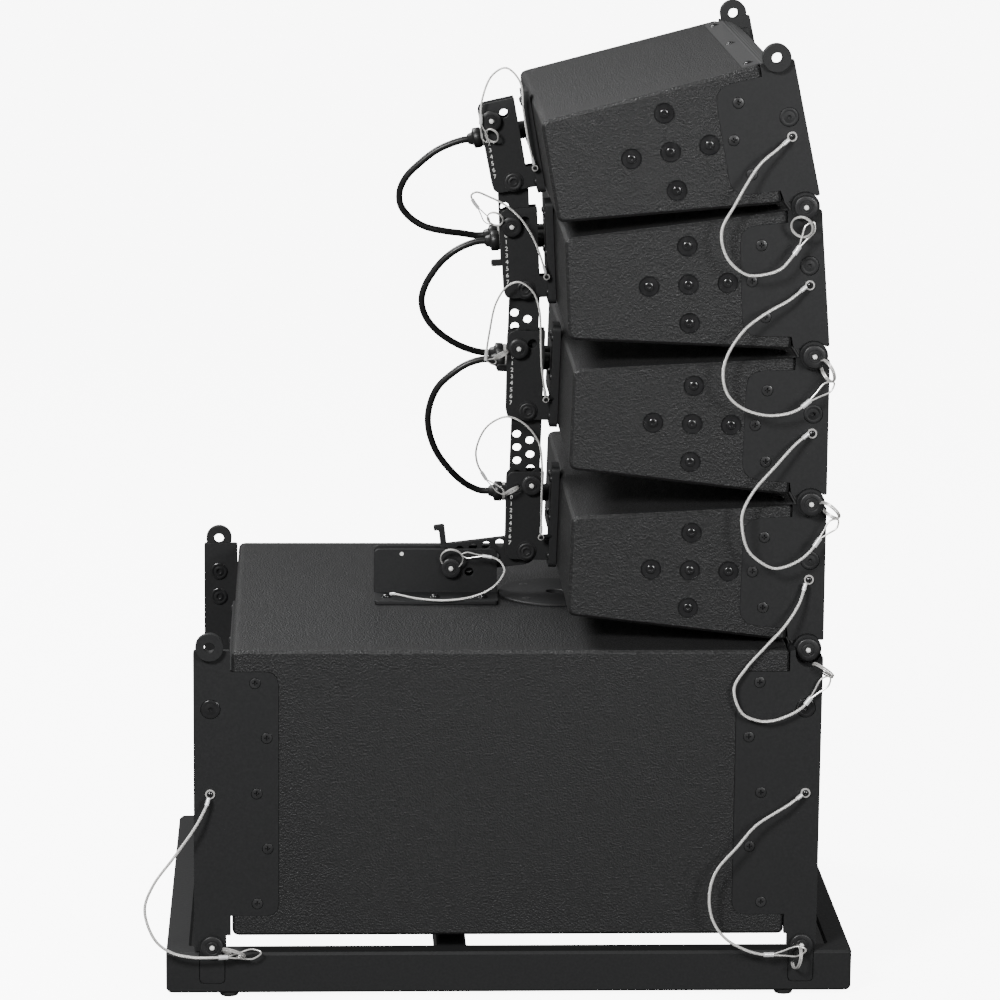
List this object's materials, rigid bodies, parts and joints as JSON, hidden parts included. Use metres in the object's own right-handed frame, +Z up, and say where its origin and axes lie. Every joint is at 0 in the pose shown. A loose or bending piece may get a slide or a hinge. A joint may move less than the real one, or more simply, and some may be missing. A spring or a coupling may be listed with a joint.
{
  "type": "line array speaker",
  "caption": "Curved column of hinged loudspeaker modules with rear splay links, pinned on a subwoofer that stands in a steel ground-stack frame.",
  "frame": {"origin": "on the floor under the middle of the base frame", "axes": "+X towards the grilles, +Y to the array's left, +Z up"},
  "size_m": [0.832, 0.61, 1.154],
  "materials": {
    "cabinet_paint": "black textured paint on birch plywood",
    "rigging_steel": "smooth satin black powder coat",
    "grille_steel": "ribbed, matt black",
    "baffle_board": "matt black",
    "driver_black": "matt black basket and cone",
    "foot_rubber": "matt",
    "pin_black": "satin black head with a bright button",
    "cable_jacket": "semi-matt",
    "bright_steel": "bright wire rope, rings and screws"
  },
  "bodies": {
    "base": {"base_frame": "rigging_steel", "base_foot_1": "foot_rubber", "base_foot_2": "foot_rubber", "base_foot_3": "foot_rubber", "base_foot_4": "foot_rubber", "sub_cabinet": "cabinet_paint", "sub_baffle": "baffle_board", "sub_woofer": "driver_black", "sub_grille": "grille_steel", "sub_amp_panel": "rigging_steel", "sub_plate_rear_near": "rigging_steel", "sub_plate_rear_far": "rigging_steel", "sub_plate_front_near": "rigging_steel", "sub_plate_front_far": "rigging_steel", "pole_plate": "rigging_steel", "tilt_bracket": "rigging_steel"},
    "base_pin_rear_near": {"base_pin_rear_near": "pin_black"},
    "base_pin_rear_far": {"base_pin_rear_far": "pin_black"},
    "base_pin_front_near": {"base_pin_front_near": "pin_black"},
    "base_pin_front_far": {"base_pin_front_far": "pin_black"},
    "tilt_pin": {"tilt_pin": "pin_black"},
    "module_4": {"module_4_cabinet": "cabinet_paint", "module_4_grille": "grille_steel", "module_4_baffle": "driver_black", "module_4_plate_near": "rigging_steel", "module_4_plate_far": "rigging_steel", "module_4_rear_bracket": "rigging_steel"},
    "link_bar_4": {"link_bar_4": "rigging_steel"},
    "front_pin_4": {"front_pin_4": "pin_black"},
    "rear_pin_4": {"rear_pin_4": "pin_black"},
    "module_3": {"module_3_cabinet": "cabinet_paint", "module_3_grille": "grille_steel", "module_3_baffle": "driver_black", "module_3_plate_near": "rigging_steel", "module_3_plate_far": "rigging_steel", "module_3_rear_bracket": "rigging_steel", "speaker_cable_3": "cable_jacket"},
    "link_bar_3": {"link_bar_3": "rigging_steel"},
    "front_pin_3": {"front_pin_3": "pin_black"},
    "rear_pin_3": {"rear_pin_3": "pin_black"},
    "module_2": {"module_2_cabinet": "cabinet_paint", "module_2_grille": "grille_steel", "module_2_baffle": "driver_black", "module_2_plate_near": "rigging_steel", "module_2_plate_far": "rigging_steel", "module_2_rear_bracket": "rigging_steel", "speaker_cable_2": "cable_jacket"},
    "link_bar_2": {"link_bar_2": "rigging_steel"},
    "front_pin_2": {"front_pin_2": "pin_black"},
    "rear_pin_2": {"rear_pin_2": "pin_black"},
    "module_1": {"module_1_cabinet": "cabinet_paint", "module_1_grille": "grille_steel", "module_1_baffle": "driver_black", "module_1_plate_near": "rigging_steel", "module_1_plate_far": "rigging_steel", "module_1_rear_bracket": "rigging_steel", "speaker_cable_1": "cable_jacket"},
    "link_bar_1": {"link_bar_1": "rigging_steel"},
    "front_pin_1": {"front_pin_1": "pin_black"},
    "rear_pin_1": {"rear_pin_1": "pin_black"}
  },
  "joints": [
    {"name": "base_pin_rear_near_pull", "type": "slide", "parent": "base", "child": "base_pin_rear_near", "axis": [0, -1, 0], "range_m": [0, 0.05]},
    {"name": "base_pin_rear_far_pull", "type": "slide", "parent": "base", "child": "base_pin_rear_far", "axis": [0, 1, 0], "range_m": [0, 0.05]},
    {"name": "base_pin_front_near_pull", "type": "slide", "parent": "base", "child": "base_pin_front_near", "axis": [0, -1, 0], "range_m": [0, 0.05]},
    {"name": "base_pin_front_far_pull", "type": "slide", "parent": "base", "child": "base_pin_front_far", "axis": [0, 1, 0], "range_m": [0, 0.05]},
    {"name": "tilt_pin_pull", "type": "slide", "parent": "base", "child": "tilt_pin", "axis": [0, -1, 0], "range_m": [0, 0.04]},
    {"name": "array_tilt", "type": "hinge", "parent": "base", "child": "module_4", "pos_m": [0.355, 0, 0.428], "axis": [0, -1, 0], "range_deg": [-3, 4]},
    {"name": "link_bar_4_swing", "type": "hinge", "parent": "module_4", "child": "link_bar_4", "pos_m": [0.02861, 0, 0.49014], "axis": [0, -1, 0], "range_deg": [-17.1, 12.95]},
    {"name": "front_pin_4_pull", "type": "slide", "parent": "module_4", "child": "front_pin_4", "axis": [0, -1, 0], "range_m": [0, 0.05]},
    {"name": "rear_pin_4_pull", "type": "slide", "parent": "module_4", "child": "rear_pin_4", "axis": [0, -1, 0], "range_m": [0, 0.04]},
    {"name": "splay_3", "type": "hinge", "parent": "module_4", "child": "module_3", "pos_m": [0.35439, 0, 0.60659], "axis": [0, -1, 0], "range_deg": [0, 7.6], "deforming": ["speaker_cable_3"]},
    {"name": "link_bar_3_swing", "type": "hinge", "parent": "module_3", "child": "link_bar_3", "pos_m": [0.02799, 0, 0.66872], "axis": [0, -1, 0], "range_deg": [-8.1, 0.5]},
    {"name": "front_pin_3_pull", "type": "slide", "parent": "module_3", "child": "front_pin_3", "axis": [0, -1, 0], "range_m": [0, 0.05]},
    {"name": "rear_pin_3_pull", "type": "slide", "parent": "module_3", "child": "rear_pin_3", "axis": [0, -1, 0], "range_m": [0, 0.04]},
    {"name": "splay_2", "type": "hinge", "parent": "module_3", "child": "module_2", "pos_m": [0.35377, 0, 0.78517], "axis": [0, -1, 0], "range_deg": [-4.4, 3.6], "deforming": ["speaker_cable_2"]},
    {"name": "link_bar_2_swing", "type": "hinge", "parent": "module_2", "child": "link_bar_2", "pos_m": [0.02357, 0, 0.82209], "axis": [0, -1, 0], "range_deg": [-4.1, 4.9]},
    {"name": "front_pin_2_pull", "type": "slide", "parent": "module_2", "child": "front_pin_2", "axis": [0, -1, 0], "range_m": [0, 0.05]},
    {"name": "rear_pin_2_pull", "type": "slide", "parent": "module_2", "child": "rear_pin_2", "axis": [0, -1, 0], "range_m": [0, 0.04]},
    {"name": "splay_1", "type": "hinge", "parent": "module_2", "child": "module_1", "pos_m": [0.33946, 0, 0.96319], "axis": [0, -1, 0], "range_deg": [-7.6, 0.4], "deforming": ["speaker_cable_1"]},
    {"name": "link_bar_1_swing", "type": "hinge", "parent": "module_1", "child": "link_bar_1", "pos_m": [0.00728, 0, 0.95611], "axis": [0, -1, 0], "range_deg": [-0.9, 8.1]},
    {"name": "front_pin_1_pull", "type": "slide", "parent": "module_1", "child": "front_pin_1", "axis": [0, -1, 0], "range_m": [0, 0.05]},
    {"name": "rear_pin_1_pull", "type": "slide", "parent": "module_1", "child": "rear_pin_1", "axis": [0, -1, 0], "range_m": [0, 0.04]}
  ],
  "couplings": [
    {"joint": "link_bar_4_swing", "follows": "array_tilt", "ratio": -4.15},
    {"joint": "link_bar_3_swing", "follows": "splay_3", "ratio": -1},
    {"joint": "link_bar_2_swing", "follows": "splay_2", "ratio": -1},
    {"joint": "link_bar_1_swing", "follows": "splay_1", "ratio": -1}
  ]
}
